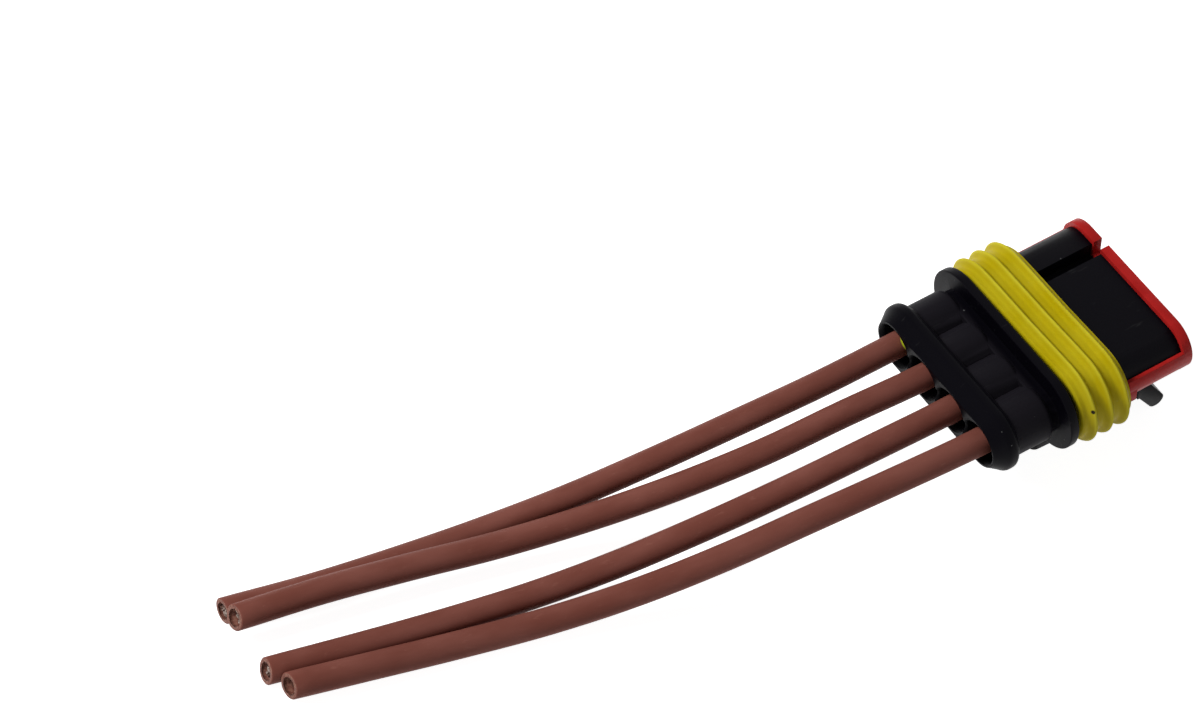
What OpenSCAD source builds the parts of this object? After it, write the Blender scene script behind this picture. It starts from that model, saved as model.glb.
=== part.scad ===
// Sealed four-way plug connector on its four crimped leads.
// X is the mating direction, from the wire mouths to the lock plate. The ways
// sit side by side along Y. The plug stands on its latch and on its leads.

/* [Contact row] */
// Distance between neighbouring ways
pitch = 6; // [5.8:0.1:6.6]
// Width of a receptacle contact's box
contact_w = 2.4; // [2.2:0.1:2.6]
// Height of a receptacle contact's box
contact_h = 3; // [2.6:0.1:3.2]
// Sheet thickness of a contact
contact_t = 0.25; // [0.2:0.05:0.35]
// Gap between a contact's box and its cavity
contact_clear = 0.25; // [0.15:0.05:0.3]

/* [Leads] */
// Diameter over the insulation
lead_d = 3.5; // [3.2:0.1:3.7]
// Diameter of the bare stranded conductor
core_d = 1.9; // [1.7:0.1:2]
// Gap between conductor and insulation
core_clear = 0.05; // [0.03:0.01:0.08]

/* [Rear mouths] */
// Bore of a wire mouth, which takes the wire seal
mouth_d = 5.6; // [5.4:0.05:5.7]
// Widening of the bore's radius where it opens at the rear face
mouth_flare = 0.4; // [0.3:0.05:0.5]
// Length over which the bore widens
flare_l = 0.7; // [0.5:0.1:1]
// Depth of the mouth bore
mouth_depth = 10.6; // [10.2:0.1:11]
// Top and end radius of the row of barrels
barrel_r = 3.75; // [3.6:0.05:4]
// Length of the rim round the mouths
rim_l = 3.4; // [3:0.1:3.8]
// Largest radius of the rim
rim_r = 4.75; // [4.5:0.05:5]

/* [Flange] */
// Distance from the rear face to the flange
flange_x = 10.2; // [9.9:0.1:10.4]
// Thickness of the flange
flange_t = 1.3; // [1.2:0.1:1.6]
// Radius of the flange's ends
flange_r = 5.8; // [5.6:0.05:5.9]
// Rounding of the flange's rear edge
flange_round = 0.2; // [0.1:0.05:0.3]
// Width of the groove between the barrels and the flange
groove_l = 1; // [0.8:0.1:1.3]

/* [Seals] */
// Length of the interface seal
seal_l = 7.5; // [7:0.1:8]
// Radius over the seal's lips
lip_r = 6.2; // [5.9:0.05:6.3]
// Height of a lip above the valley beside it
lip_h = 0.95; // [0.6:0.05:1.2]
// Length of a wire seal
wire_seal_l = 7.2; // [6.6:0.1:7.6]
// Depth of the wire seal behind the rear face
wire_seal_in = 2.4; // [1.8:0.1:2.6]
// Radius of the wire seal's neck, which the contact grips
neck_r = 2.15; // [2.05:0.05:2.3]

/* [Front body] */
// Length of the body ahead of the interface seal
front_l = 9.7; // [9:0.1:10.5]
// Radius of the front body's ends
front_r = 3.25; // [3.15:0.05:3.6]
// Width of the key groove
groove_w = 2; // [1.6:0.1:2.2]
// Depth of the key groove
groove_d = 2.2; // [1.8:0.1:2.4]

/* [Secondary lock] */
// Thickness of the lock plate
plate_t = 1.3; // [1:0.1:1.6]
// Thickness of the lock's side arms
arm_t = 0.45; // [0.4:0.05:0.6]
// Height of the lock's side arms
arm_h = 2.8; // [2.4:0.1:3.2]
// How much lower the top of the arm on the key side lies
key_arm_drop = 1.2; // [0.8:0.1:1.4]
// Running gap between lock and housing
lock_clear = 0.1; // [0.08:0.01:0.15]
// Length of the foot at the end of each arm
foot_l = 1.4; // [1.2:0.1:1.8]
// Drop of the foot below the row's axis
foot_drop = 2.5; // [2.2:0.1:2.8]
// Reach of the lock's fingers beside the contacts
finger_l = 8.4; // [7:0.1:9]
// Width of the entry for a pin
entry_w = 2.2; // [1.8:0.1:2.4]
// Height of the entry for a pin
entry_h = 1.4; // [1.2:0.1:1.8]

/* [Latch lever] */
// Width of the flared lip at the lever's front
lip_w = 18.2; // [17.4:0.2:19]
// Width of the bar that carries the pivot sockets
bar_w = 17.8; // [17.2:0.1:18]
// Thickness of the lever's arms
lever_t = 1.4; // [1.2:0.1:1.6]
// Room between the row's axis and the arms, where the mating shroud goes
shroud_room = 8; // [7.8:0.1:8.4]
// Width of the window between the arms
window_w = 10.8; // [10:0.2:11.2]
// Width of the press pad and over the two arms
pad_w = 15.2; // [14.6:0.2:15.8]
// Distance from the rear face to the press pad
pad_x = 4.5; // [4.3:0.1:5]
// Distance from the row's axis to the pad's inner face
pad_top = 6.8; // [6.6:0.1:7]
// Distance from the flange's front face forward to the hook
hook_ahead = 13.7; // [12.8:0.1:14.3]
// Height of the hook above the arms
hook_h = 1; // [0.6:0.1:1.2]
// Drop of the flared lip below the arms
lip_drop = 3.5; // [3:0.1:4]
// Radius of the pivot pins on the housing's webs
pin_r = 0.55; // [0.5:0.01:0.6]
// Running gap round the pivot pins
pin_clear = 0.08; // [0.05:0.01:0.1]
// Distance from the row's axis down to the pivot
pivot_drop = 7.75; // [7.7:0.01:7.8]
// Distance from the middle of the plug to each web
web_y = 6.6; // [6.4:0.1:6.8]
// Width of each web
web_w = 2; // [1.6:0.1:2.2]

/* [Hidden] */
$fn = 48;

ways = 4;
half = pitch * (ways - 1) / 2;

// Stations along the plug, from the rear face
flange_end = flange_x + flange_t;
seal_gap = 0.4;
seal_x = flange_end + seal_gap;
seal_end = seal_x + seal_l;
body_end = seal_end + front_l;
lock_x = body_end + lock_clear;
total_l = lock_x + plate_t;
arm_x = seal_end + 1.2;
hinge_x = flange_x + flange_t / 2;
hook_x = flange_end + hook_ahead;
hook_l = 2.2;
lip_reach = 5;
lip_x = hook_x + 0.6;
bar_x = flange_x - 1;
bar_l = 3.8;

// Heights below the row's axis
arms_low = shroud_room + lever_t;
pad_low = pad_top + lever_t + 0.2;
web_t = 0.7;
web_clear = 0.2;
lip_low = arms_low + lip_drop;
axis_h = lip_low;

// Cavities behind the lock plate
cavity_w = contact_w + 2 * contact_clear;
cavity_h = contact_h + 2 * contact_clear;
box_end = body_end - 0.6;
box_l = 11.6;
finger_w = 1.8;
finger_t = 0.7;

// Crimps of a contact
core_bare = 4.2;
strip_x = wire_seal_in + wire_seal_l + 0.2;
jacket_x = strip_x - 0.6;
crimp_x = strip_x + 1;
crimp_l = 3;

// Routes of the leads behind the rear face: distance back, distance sideways
// from the lead's own mouth, and height, which is 1 at the mouth and 0 where
// the lead lies on the surface.
lead_rest = lead_d / 2;
lead_routes = [
    [[11, 0.4, 0.96], [22, 2.2, 0.78], [33, 4.6, 0.53], [44, 7.4, 0.26],
     [55, 10.3, 0.06], [66, 12.6, 0], [77, 14.8, 0], [88, 17.6, 0]],
    [[11, 0.9, 0.96], [22, 2.6, 0.78], [33, 5.6, 0.53], [44, 9.1, 0.31],
     [55, 12.4, 0.2], [66, 15.4, 0.21], [77, 18, 0.24], [88, 20.4, 0.22]],
    [[11, 0.6, 0.96], [22, 2.2, 0.78], [33, 4.6, 0.53], [44, 7.5, 0.26],
     [55, 10.6, 0.06], [66, 13.4, 0], [77, 16.1, 0], [88, 19, 0]],
    [[11, 0.9, 0.96], [22, 2.9, 0.78], [33, 5.4, 0.53], [44, 8.6, 0.26],
     [55, 12.2, 0.06], [66, 15.4, 0.02], [77, 18.3, 0.06], [87, 21, 0.09]]
];

function way_y(i) = half - pitch * i;
function arc(cx, cr, r, a0, a1, n) =
    [for (i = [0:n]) let (a = a0 + (a1 - a0) * i / n) [cx + r * cos(a), cr + r * sin(a)]];

// Lays the plug in its own frame: rear face at x = 0, row's axis at z = 0.
module place() {
    translate([-total_l / 2, 0, axis_h]) children();
}

// Turns a closed outline of [x, radius] points round the row, as a body of
// stadium section whose round ends are centred on the outer ways.
module row_turn(outline) {
    for (s = [0, 1])
        mirror([0, s, 0])
            translate([0, half, 0])
                rotate([0, 90, 0])
                    rotate_extrude(angle = 180)
                        polygon([for (p = outline) [p[1], p[0]]]);
    for (s = [0, 1])
        mirror([0, 0, s])
            rotate([90, 0, 0])
                linear_extrude(2 * half, center = true)
                    polygon(outline);
}

// A straight bar of stadium section from x0 to x1.
module row_bar(x0, x1, r) {
    row_turn([[x0, 0], [x1, 0], [x1, r], [x0, r]]);
}

// Draws in the XZ plane and extrudes along Y, centred on y.
module side_extrude(w, y = 0) {
    translate([0, y, 0]) rotate([90, 0, 0]) linear_extrude(w, center = true) children();
}

// One barrel round each way, so that neighbours meet in a crease, rounded where
// it ends short of the flange, and a lower neck across the groove to the flange.
module barrels() {
    end = flange_x - groove_l;
    soft = 0.8;
    for (i = [0:ways - 1])
        translate([0, way_y(i), 0]) rotate([0, 90, 0]) rotate_extrude()
            polygon([for (p = concat(
                [[0.5, 0], [end, 0]],
                arc(end - soft, barrel_r - soft, soft, 0, 90, 4),
                [[0.5, barrel_r]]
            )) [p[1], p[0]]]);
    row_bar(end - soft, flange_x + 0.2, barrel_r - 0.55);
}

// Rim round the mouths: a cone at the rear, a crest, a rounded front and a foot
// that runs out on the barrels.
module rim() {
    rear_r = mouth_d / 2 + 0.65;
    front_soft = 0.85;
    front_slope = 30;
    rear_soft = 0.9;
    rear_slope = 140;
    crest = 0.62 * rim_l;
    foot = 0.5;
    row_turn(concat(
        [[0, 0], [rim_l + foot, 0], [rim_l + foot, barrel_r - 0.15]],
        arc(rim_l - front_soft, rim_r - front_soft, front_soft, front_slope, 90, 5),
        arc(crest, rim_r - rear_soft, rear_soft, 90, rear_slope, 4),
        [[0.25, rear_r + 0.15], [0, rear_r]]
    ));
}

module flange() {
    front_soft = 0.3;
    row_turn(concat(
        [[flange_x, 0], [flange_end, 0]],
        arc(flange_end - front_soft, flange_r - front_soft, front_soft, 0, 90, 4),
        arc(flange_x + flange_round, flange_r - flange_round, flange_round, 90, 180, 6)
    ));
}

// Thin webs under the flange, each ending in a pivot pin for the lever.
module webs() {
    for (s = [-1, 1]) {
        side_extrude(web_w, s * web_y)
            translate([hinge_x - web_t / 2, -pivot_drop]) square([web_t, pivot_drop - flange_r + 0.6]);
        translate([hinge_x, s * web_y, -pivot_drop])
            rotate([90, 0, 0]) cylinder(r = pin_r, h = web_w, center = true);
    }
}

module plug_housing() {
    color([0.06, 0.06, 0.07]) place() difference() {
        union() {
            rim();
            barrels();
            flange();
            row_bar(flange_end - 0.2, seal_end, barrel_r);
            row_bar(seal_end - 0.2, body_end, front_r);
            webs();
        }
        for (i = [0:ways - 1]) translate([0, way_y(i), 0]) {
            // Mouth bore for the wire seal, widened at the rear face
            translate([-1, 0, 0]) rotate([0, 90, 0]) cylinder(d = mouth_d, h = mouth_depth + 1);
            rotate([0, 90, 0])
                cylinder(r1 = mouth_d / 2 + mouth_flare, r2 = mouth_d / 2, h = flare_l);
            translate([-1, 0, 0]) rotate([0, 90, 0]) cylinder(r = mouth_d / 2 + mouth_flare, h = 1);
            // Cavity for the contact's box
            translate([mouth_depth - 0.1, -cavity_w / 2, -cavity_h / 2])
                cube([body_end, cavity_w, cavity_h]);
            // Slot for the lock's finger
            translate([lock_x - finger_l - 0.4, -finger_w / 2 - lock_clear, -cavity_h / 2 - finger_t - 2 * lock_clear])
                cube([body_end, finger_w + 2 * lock_clear, finger_t + 1]);
        }
        // Key groove between the first two ways
        translate([seal_end + 0.4, half - pitch / 2 - groove_w / 2, front_r - groove_d])
            cube([body_end, groove_w, front_r]);
    }
}

// Press pad, bar with the pivot sockets, two arms and a front bar with hook and
// flared lip, moulded in one piece with a window between the arms.
module latch_lever() {
    nose = hook_x + hook_l;
    tip = hook_x + lip_reach;
    arms_x = hinge_x + 2;
    lip_soft = 1.15;
    corner = 1;
    grip_r = 0.35;
    grip_pitch = 1.2;
    color([0.07, 0.07, 0.08]) place() difference() {
        intersection() {
            side_extrude(lip_w) polygon(concat(
                [[pad_x, -pad_low], [pad_x, -pad_top], [hinge_x + 1, -pad_top],
                 [arms_x, -shroud_room], [hook_x, -shroud_room],
                 [hook_x, -shroud_room + hook_h], [nose, -shroud_room + hook_h]],
                arc(tip - lip_soft, -lip_low + lip_soft, lip_soft, 20, -140, 8),
                [[hook_x + 0.9, -arms_low], [arms_x, -arms_low + 0.4]]
            ));
            // Plan of the lever: the pad and arms, the wider bar and the lip
            translate([0, 0, -2 * lip_low]) linear_extrude(2 * lip_low) union() {
                translate([pad_x + corner, -pad_w / 2]) square([tip - pad_x - corner - 1, pad_w]);
                translate([pad_x, -pad_w / 2 + corner]) square([2 * corner, pad_w - 2 * corner]);
                for (s = [-1, 1])
                    translate([pad_x + corner, s * (pad_w / 2 - corner)]) circle(corner);
                translate([bar_x + corner, -bar_w / 2]) square([bar_l - corner, bar_w]);
                for (s = [-1, 1])
                    translate([bar_x + corner, s * (bar_w / 2 - corner)]) circle(corner);
                translate([lip_x, -lip_w / 2]) square([tip - lip_x + 1, lip_w]);
            }
        }
        // Window between the arms
        translate([arms_x + 1, -window_w / 2, -2 * lip_low])
            cube([hook_x - arms_x - 1.8, window_w, 2 * lip_low]);
        // Grip grooves across the outer face of the pad
        for (i = [0:2])
            side_extrude(lip_w)
                translate([pad_x + 0.9 + grip_pitch * i, -pad_low - 0.1]) circle(grip_r, $fn = 24);
        // Pivot sockets, open upwards for the webs
        for (s = [-1, 1]) {
            translate([hinge_x, s * web_y, -pivot_drop]) rotate([90, 0, 0])
                cylinder(r = pin_r + pin_clear, h = web_w + 2 * web_clear, center = true);
            translate([hinge_x - web_t / 2 - web_clear, s * web_y - web_w / 2 - web_clear, -pivot_drop])
                cube([web_t + 2 * web_clear, web_w + 2 * web_clear, pivot_drop]);
        }
    }
}

// Ring stretched over the body, with three lips and wide valleys between. The
// section is a raised cosine to a power, which narrows the lips.
module interface_seal() {
    lips = 3;
    narrowing = 2.6;
    lip_pitch = (seal_l - 2.6) / (lips - 1);
    first = seal_x + 1.5;
    steps = 10;
    wave = [for (i = [0:lips * steps]) let (x = first - lip_pitch / 2 + lip_pitch * i / steps)
        if (x > seal_x + 0.3 && x < seal_end - 0.2)
            [x, lip_r - lip_h + lip_h * pow(0.5 + 0.5 * cos(360 * (x - first) / lip_pitch), narrowing)]];
    color([0.78, 0.72, 0.1]) place() row_turn(concat(
        [[seal_end, barrel_r], [seal_x, barrel_r], [seal_x, lip_r - lip_h - 0.1]],
        wave,
        [[seal_end, lip_r - lip_h - 0.1]]
    ));
}

// Funnel that leads a pin through the plate: wide at the front, w by h behind.
module pin_entry(w, h) {
    flare = 0.55;
    x0 = lock_x + 0.6;
    x1 = total_l;
    intersection() {
        side_extrude(w + 4 * flare)
            polygon([[x0, -h / 2], [x0, h / 2], [x1 + 0.1, h / 2 + flare], [x1 + 0.1, -h / 2 - flare]]);
        linear_extrude(h + 4 * flare, center = true)
            polygon([[x0, -w / 2], [x0, w / 2], [x1 + 0.1, w / 2 + flare], [x1 + 0.1, -w / 2 - flare]]);
    }
    translate([x0 - 1, -w / 2, -h / 2]) cube([1.2, w, h]);
}

// Plate over the front with an entry for each pin, two side arms with feet, and
// a finger beside each contact. Plate and arms are cut from one shallow cup.
module secondary_lock() {
    bore = front_r + lock_clear;
    cup_r = bore + arm_t;
    arm_l = lock_x - arm_x;
    color([0.75, 0.1, 0.1]) place() {
        difference() {
            row_turn([[lock_x, 0], [total_l, 0], [total_l, cup_r], [arm_x, cup_r], [arm_x, bore], [lock_x, bore]]);
            // Everything between the two arms
            translate([arm_x - 1, -half - 0.3, -cup_r - 1])
                cube([arm_l + 1, 2 * half + 0.6, 2 * cup_r + 2]);
            // Above and below each arm
            for (s = [0, 1]) mirror([0, s, 0]) translate([arm_x - 1, half, 0]) {
                translate([0, 0, arm_h / 2 - (1 - s) * key_arm_drop]) cube([arm_l + 1, 2 * cup_r, cup_r]);
                translate([0, 0, -arm_h / 2 - cup_r]) cube([arm_l + 1, 2 * cup_r, cup_r]);
            }
            for (i = [0:ways - 1]) translate([0, way_y(i), 0]) pin_entry(entry_w, entry_h);
            // Notch where the key groove runs out
            translate([lock_x - 1, half - pitch / 2 - groove_w / 2 + 0.3, front_r - groove_d + 0.3])
                cube([plate_t + 2, groove_w - 0.6, groove_d + cup_r]);
        }
        // Foot at the end of each arm
        for (s = [0, 1]) mirror([0, s, 0])
            translate([arm_x, half + bore + 0.02, -foot_drop])
                cube([foot_l, arm_t - 0.05, foot_drop - 0.5]);
        // Finger beside each contact
        for (i = [0:ways - 1])
            translate([lock_x - finger_l, way_y(i) - finger_w / 2, -cavity_h / 2 - finger_t - lock_clear])
                cube([finger_l + 0.2, finger_w, finger_t]);
    }
}

// Receptacle contact: wings on the seal's neck, wings on the conductor, a
// transition, and a folded box with a spring tongue and a locking lance.
module contact(i) {
    t = contact_t;
    w = contact_w;
    h = contact_h;
    wing_l = 1.5;
    wing_x = strip_x - wing_l;
    crimp_gap = 0.24;
    box_seam = 0.12;
    lance_w = 0.5;
    crimp_r = core_d / 2 + 0.03 + t;
    box_x = box_end - box_l;
    crimp_end = crimp_x + crimp_l;
    color([0.72, 0.72, 0.7]) place() translate([0, way_y(i), 0]) {
        // Wings round the neck of the wire seal, open along the top
        difference() {
            translate([wing_x, 0, 0]) rotate([0, 90, 0]) cylinder(r = neck_r + t, h = wing_l);
            translate([wing_x - 1, 0, 0]) rotate([0, 90, 0]) cylinder(r = neck_r, h = wing_l + 2);
            translate([wing_x - 1, -0.4, 0]) cube([wing_l + 2, 0.8, neck_r + 1]);
        }
        // Floor that rises from the wings to the conductor crimp and the box
        side_extrude(1.2) polygon([
            [wing_x + wing_l - 0.1, -neck_r - t], [wing_x + wing_l + 0.1, -neck_r - t],
            [crimp_x + 0.2, -crimp_r], [crimp_end, -crimp_r], [box_x + 0.3, -h / 2],
            [box_x + 0.3, -h / 2 + t], [crimp_end, -crimp_r + t], [crimp_x, -crimp_r + t],
            [wing_x + wing_l - 0.1, -neck_r - 0.02]
        ]);
        // Wings round the bare conductor
        difference() {
            translate([crimp_x, 0, 0]) rotate([0, 90, 0]) cylinder(r = crimp_r, h = crimp_l);
            translate([crimp_x - 1, 0, 0]) rotate([0, 90, 0]) cylinder(r = crimp_r - t, h = crimp_l + 2);
            translate([crimp_x - 1, -crimp_gap / 2, 0]) cube([crimp_l + 2, crimp_gap, crimp_r + 1]);
        }
        // Box with a seam on top
        difference() {
            translate([box_x, -w / 2, -h / 2]) cube([box_l, w, h]);
            translate([box_x - 1, -w / 2 + t, -h / 2 + t]) cube([box_l + 2, w - 2 * t, h - 2 * t]);
            translate([box_x - 1, -box_seam / 2, 0]) cube([box_l + 2, box_seam, h]);
            translate([box_x + 3, 0.3, 0]) cube([3.2, w / 2 - t - 0.3, h]);
        }
        // Spring tongue that presses a pin against the roof
        side_extrude(w - 2 * t - 0.5) polygon([
            [box_end - 0.2, -h / 2 + t - 0.05], [box_end - 0.2, -h / 2 + 2 * t],
            [box_end - 3, -0.35], [box_end - 7, -h / 2 + 2 * t], [box_end - 8, -h / 2 + t + 0.3],
            [box_end - 8, -h / 2 + t - 0.05], [box_end - 7, -h / 2 + t - 0.05],
            [box_end - 3, -0.35 - t]
        ]);
        // Locking lance, raised towards the cavity's roof
        side_extrude(lance_w, lance_w + 0.05) polygon([
            [box_x + 2.9, h / 2 - t], [box_x + 3.3, h / 2 - t],
            [box_x + 5.4, h / 2 + contact_clear - 0.08 - t], [box_x + 5.4, h / 2 + contact_clear - 0.08]
        ]);
    }
}

// Soft sleeve on the lead, ribbed against the mouth and necked for the contact.
module wire_seal(i) {
    bore_r = lead_d / 2;
    rib_r = mouth_d / 2;
    root_r = rib_r - 0.35;
    ribs = 3;
    neck_l = 1.8;
    body_l = wire_seal_l - neck_l;
    rib_pitch = body_l / ribs;
    end = wire_seal_in + wire_seal_l;
    teeth = [for (k = [0:ribs - 1], p = [[0.1, 0], [0.32, 1], [0.68, 1], [0.9, 0]])
        [wire_seal_in + rib_pitch * (k + p[0]), root_r + (rib_r - root_r) * p[1]]];
    color([0.72, 0.78, 0.15]) place() translate([0, way_y(i), 0]) rotate([0, 90, 0])
        rotate_extrude() polygon([for (p = concat(
            [[end, bore_r], [wire_seal_in, bore_r], [wire_seal_in, root_r]],
            teeth,
            [[wire_seal_in + body_l, root_r], [wire_seal_in + body_l + 0.2, neck_r], [end, neck_r]]
        )) [p[1], p[0]]]);
}

// Points of a lead in the plug's frame, from x0 inside the plug to its cut end.
function lead_points(i, x0, over) =
    let (
        back = lead_routes[i],
        last = back[len(back) - 1],
        before = back[len(back) - 2],
        run = [last[0] - before[0], last[1] - before[1]],
        cut = [last[0] + over * run[0] / norm(run), last[1] + over * run[1] / norm(run), last[2]],
        points = concat([for (k = [0:len(back) - 2]) back[k]], [cut])
    )
    concat(
        [[x0 - total_l / 2, way_y(i), axis_h], [-total_l / 2, way_y(i), axis_h]],
        [for (p = points)
            [-total_l / 2 - p[0], way_y(i) + p[1], lead_rest + p[2] * (axis_h - lead_rest)]]
    );

function unit(v) = v / norm(v);
function heading(points, k) =
    unit(points[min(k + 1, len(points) - 1)] - points[max(k - 1, 0)]);

// Ring of corners round one point of a route, square to the route there.
function ring(points, k, r, sides) =
    let (t = heading(points, k), side = unit(cross([0, 0, 1], t)), up = cross(t, side))
    [for (j = [0:sides - 1]) let (a = 360 * (j + 0.5) / sides)
        points[k] + r * (cos(a) * side + sin(a) * up)];

// Quadrilaterals between neighbouring rings, from corner number base onwards.
function skin(base, rings, sides, inward) =
    [for (k = [0:rings - 2], j = [0:sides - 1])
        let (a = base + k * sides + j, b = base + k * sides + (j + 1) % sides)
        inward ? [a, b, b + sides, a + sides] : [a, a + sides, b + sides, b]];

// Rod along a route.
module rod(points, r, sides) {
    n = len(points);
    polyhedron(
        points = [for (k = [0:n - 1]) each ring(points, k, r, sides)],
        faces = concat(
            skin(0, n, sides, false),
            [[for (j = [0:sides - 1]) j]],
            [[for (j = [sides - 1:-1:0]) (n - 1) * sides + j]]
        )
    );
}

// Hollow tube along a route.
module tube(points, r, bore_r, sides) {
    n = len(points);
    inner = n * sides;
    polyhedron(
        points = concat(
            [for (k = [0:n - 1]) each ring(points, k, r, sides)],
            [for (k = [0:n - 1]) each ring(points, k, bore_r, sides)]
        ),
        faces = concat(
            skin(0, n, sides, false),
            skin(inner, n, sides, true),
            [for (j = [0:sides - 1]) let (m = (j + 1) % sides) [j, m, inner + m, inner + j]],
            [for (j = [0:sides - 1]) let (m = (j + 1) % sides, e = (n - 1) * sides)
                [e + j, inner + e + j, inner + e + m, e + m]]
        )
    );
}

module lead(i) {
    color([0.47, 0.29, 0.27])
        tube(lead_points(i, jacket_x, 0), lead_d / 2, core_d / 2 + core_clear, 8);
}

module conductor(i) {
    color([0.75, 0.62, 0.52])
        rod(lead_points(i, strip_x + core_bare - 0.4, 0.3), core_d / 2, 8);
}

plug_housing();
latch_lever();
interface_seal();
secondary_lock();
for (i = [0:ways - 1]) {
    contact(i);
    wire_seal(i);
    lead(i);
    conductor(i);
}
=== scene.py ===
# %% [markdown]
# # Sealed plug connector with four leads
# The plug half of a sealed wire-to-wire connector: a black moulded housing with
# four wire mouths, a yellow ribbed seal, a red secondary lock and a latch lever
# underneath, with four crimped leads that end bare. The construction comes from
# the packed CAD model and is never moved. This script adds what the eye sees:
# softened edges, rubber, extruded jackets, twisted strands and every finish.

# %% Load the packed frame
import math

import bmesh
import bpy
import numpy as np
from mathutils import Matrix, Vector


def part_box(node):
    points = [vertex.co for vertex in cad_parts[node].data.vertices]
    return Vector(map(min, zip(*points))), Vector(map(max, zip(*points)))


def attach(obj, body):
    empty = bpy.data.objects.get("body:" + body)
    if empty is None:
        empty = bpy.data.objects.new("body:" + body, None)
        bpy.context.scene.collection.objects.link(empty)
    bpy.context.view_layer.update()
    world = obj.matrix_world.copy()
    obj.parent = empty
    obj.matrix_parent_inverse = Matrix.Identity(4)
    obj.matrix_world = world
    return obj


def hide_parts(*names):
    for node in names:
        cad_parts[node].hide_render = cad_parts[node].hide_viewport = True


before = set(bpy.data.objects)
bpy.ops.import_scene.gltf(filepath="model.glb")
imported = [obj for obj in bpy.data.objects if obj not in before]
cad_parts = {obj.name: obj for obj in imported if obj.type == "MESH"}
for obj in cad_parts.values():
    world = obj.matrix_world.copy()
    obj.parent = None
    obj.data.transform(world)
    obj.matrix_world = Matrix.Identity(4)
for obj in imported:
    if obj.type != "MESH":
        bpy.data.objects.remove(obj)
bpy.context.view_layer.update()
MM = 0.001

# %% [markdown]
# ## Stations
# Every place below is read from the CAD nodes' own boxes, so nothing has to be
# fitted by eye. The row's axis is the line of the four wire bores.

# %% Stations read from the CAD model
WAYS = 4
REAR_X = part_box("plug_housing")[0][0]
SEAL_LOW, SEAL_HIGH = (np.array(c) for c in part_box("interface_seal"))
AXIS_Z = (SEAL_LOW[2] + SEAL_HIGH[2]) / 2
WAY_Y = []
for way in range(WAYS):
    low, high = (np.array(c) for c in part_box(f"wire_seal_{way + 1}"))
    WAY_Y.append((low[1] + high[1]) / 2)
HALF_ROW = WAY_Y[0]
print("row axis at", round(AXIS_Z / MM, 2), "mm, ways at", np.round(np.array(WAY_Y) / MM, 2))

# %% [markdown]
# ## Camera
# A long lens from the rear left, well above the bench, looks down on the plug.
# The camera is placed by two angles and a distance from the point it looks at.

# %% Camera
LOOK_AT = Vector((REAR_X - 31.6 * MM, 28.24 * MM, AXIS_Z + 0.09 * MM))
CAMERA_TURN = math.radians(32.7)
CAMERA_RISE = math.radians(52.1)
CAMERA_DISTANCE = 566 * MM

camera_data = bpy.data.cameras.new("camera")
camera_data.lens = 135
camera_data.sensor_width = 36
camera_data.clip_start = 0.01
camera = bpy.data.objects.new("camera", camera_data)
bpy.context.scene.collection.objects.link(camera)
toward = Vector((
    -math.sin(CAMERA_TURN) * math.cos(CAMERA_RISE),
    -math.cos(CAMERA_TURN) * math.cos(CAMERA_RISE),
    math.sin(CAMERA_RISE),
))
camera.location = LOOK_AT + toward * CAMERA_DISTANCE
camera.rotation_euler = (-toward).to_track_quat("-Z", "Y").to_euler()
bpy.context.scene.camera = camera
print("camera:", camera_data.lens, "mm lens at", [round(c, 3) for c in camera.location], "m")

# %% [markdown]
# ## Surfaces from numbers
# A surface is a grid of points. One helper turns such a grid into a mesh, with
# a UV map that counts along and across the grid, and joins the seams of grids
# that close on themselves.

# %% Grid to mesh
def link(mesh, name, smooth=True):
    """Wraps a mesh in an object at the origin and links it to the scene."""
    obj = bpy.data.objects.new(name, mesh)
    bpy.context.scene.collection.objects.link(obj)
    mesh.polygons.foreach_set("use_smooth", [smooth] * len(mesh.polygons))
    return obj


def grid_faces(rows, columns, close_rows, close_columns, base=0):
    """Quad (i, j) joins points (i, j), (i, j + 1), (i + 1, j + 1) and (i + 1, j) of a
    rows x columns grid; a closed direction wraps round. base is the first point."""
    i = np.arange(rows if close_rows else rows - 1)
    j = np.arange(columns if close_columns else columns - 1)
    i, j = np.meshgrid(i, j, indexing="ij")
    i2, j2 = (i + 1) % rows, (j + 1) % columns
    corners = [i * columns + j, i * columns + j2, i2 * columns + j2, i2 * columns + j]
    return np.stack(corners, -1).reshape(-1, 4) + base


def mesh_from(name, points, faces, uv=None, smooth=True):
    """Mesh object from an (n, 3) array and a list of faces; uv has one pair per point."""
    mesh = bpy.data.meshes.new(name)
    mesh.from_pydata(np.asarray(points).tolist(), [], [list(map(int, f)) for f in faces])
    mesh.update()
    if uv is not None:
        layer = mesh.uv_layers.new(name="surface")
        corner = np.zeros(len(mesh.loops), np.int32)
        mesh.loops.foreach_get("vertex_index", corner)
        layer.data.foreach_set("uv", np.asarray(uv)[corner].astype(np.float32).ravel())
    return link(mesh, name, smooth)


print("a 4 x 3 grid, closed both ways, has", len(grid_faces(4, 3, True, True)), "faces")

# %% [markdown]
# ## Shader arithmetic
# Procedural finishes are sums and products of noises and masks. A small class
# wraps a node's output socket, so that such arithmetic reads as Python: adding
# two values adds a Math node to their tree and wraps what comes out of it.

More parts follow.
